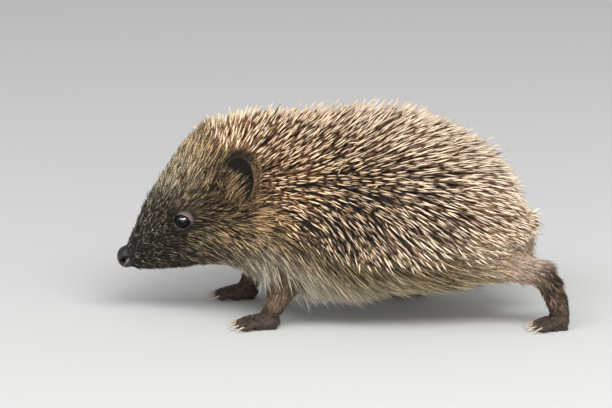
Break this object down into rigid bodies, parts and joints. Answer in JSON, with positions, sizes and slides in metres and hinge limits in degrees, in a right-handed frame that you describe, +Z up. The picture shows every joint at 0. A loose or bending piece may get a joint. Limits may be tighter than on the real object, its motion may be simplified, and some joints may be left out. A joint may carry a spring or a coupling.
{
  "type": "hedgehog",
  "caption": "Still life-size young hedgehog in mid-stride: nose low, spines laid back, one hind foot trailing; stands on flat soles.",
  "frame": {"origin": "on the floor, under the middle of the bounding box", "axes": "+Z up, the nose towards -X, the animal's left side towards -Y"},
  "size_m": [0.1946, 0.09, 0.0935],
  "materials": {
    "spines": "banded keratin: brown shaft, dark band, cream tip",
    "face": "short grizzled fur, dark snout, tan cheeks",
    "fur": "coarse streaked fur, paler on the chest",
    "leg": "short pinkish brown fur, dark towards the foot",
    "skin": "thin dark wrinkled skin",
    "nose": "moist, finely pebbled",
    "eye": "wet black",
    "claw": "dull horn"
  },
  "bodies": {
    "root": {"back": "spines", "claw_forepaw_left_1": "claw", "claw_forepaw_left_2": "claw", "claw_forepaw_left_3": "claw", "claw_forepaw_left_4": "claw", "claw_forepaw_left_5": "claw", "claw_forepaw_right_1": "claw", "claw_forepaw_right_2": "claw", "claw_forepaw_right_3": "claw", "claw_forepaw_right_4": "claw", "claw_forepaw_right_5": "claw", "claw_hindfoot_left_1": "claw", "claw_hindfoot_left_2": "claw", "claw_hindfoot_left_3": "claw", "claw_hindfoot_left_4": "claw", "claw_hindfoot_left_5": "claw", "claw_hindfoot_right_1": "claw", "claw_hindfoot_right_2": "claw", "claw_hindfoot_right_3": "claw", "claw_hindfoot_right_4": "claw", "claw_hindfoot_right_5": "claw", "ear_left": "skin", "ear_right": "skin", "eye_left": "eye", "eye_right": "eye", "foreleg_left": "leg", "foreleg_right": "leg", "forepaw_left": "skin", "forepaw_right": "skin", "head": "face", "hindfoot_left": "skin", "hindfoot_right": "skin", "hindleg_left": "leg", "hindleg_right": "leg", "jaw": "face", "neck": "fur", "nose": "nose", "tail": "skin", "underside": "fur"}
  },
  "joints": []
}
